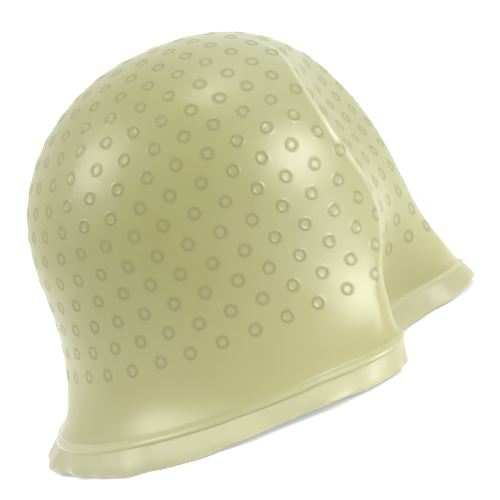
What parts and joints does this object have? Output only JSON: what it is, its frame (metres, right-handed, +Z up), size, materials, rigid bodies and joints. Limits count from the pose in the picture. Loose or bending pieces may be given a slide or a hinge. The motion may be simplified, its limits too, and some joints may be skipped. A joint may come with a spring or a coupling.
{
  "type": "highlighting cap",
  "caption": "Soft silicone hair-highlighting cap: dome with raised pull-hole rings, plain band, rim bead and flared drip skirt, dented down the front side.",
  "frame": {"origin": "bottom centre of the cap's bounding box, on the plane that the skirt's edge rests on", "axes": "+Z up to the crown, +X towards the forehead end (the longer way of the oval), -Y towards the wearer's left"},
  "size_m": [0.2504, 0.2204, 0.1845],
  "materials": {
    "shell_silicone": "soft satin translucent silicone",
    "bead_silicone": "soft satin translucent silicone",
    "skirt_silicone": "soft satin translucent silicone"
  },
  "bodies": {
    "root": {"crown_panel": "shell_silicone", "upper_dome": "shell_silicone", "lower_dome": "shell_silicone", "upper_wall": "shell_silicone", "lower_wall": "shell_silicone", "plain_band": "shell_silicone", "rim_bead": "bead_silicone", "drip_skirt": "skirt_silicone"}
  },
  "joints": []
}
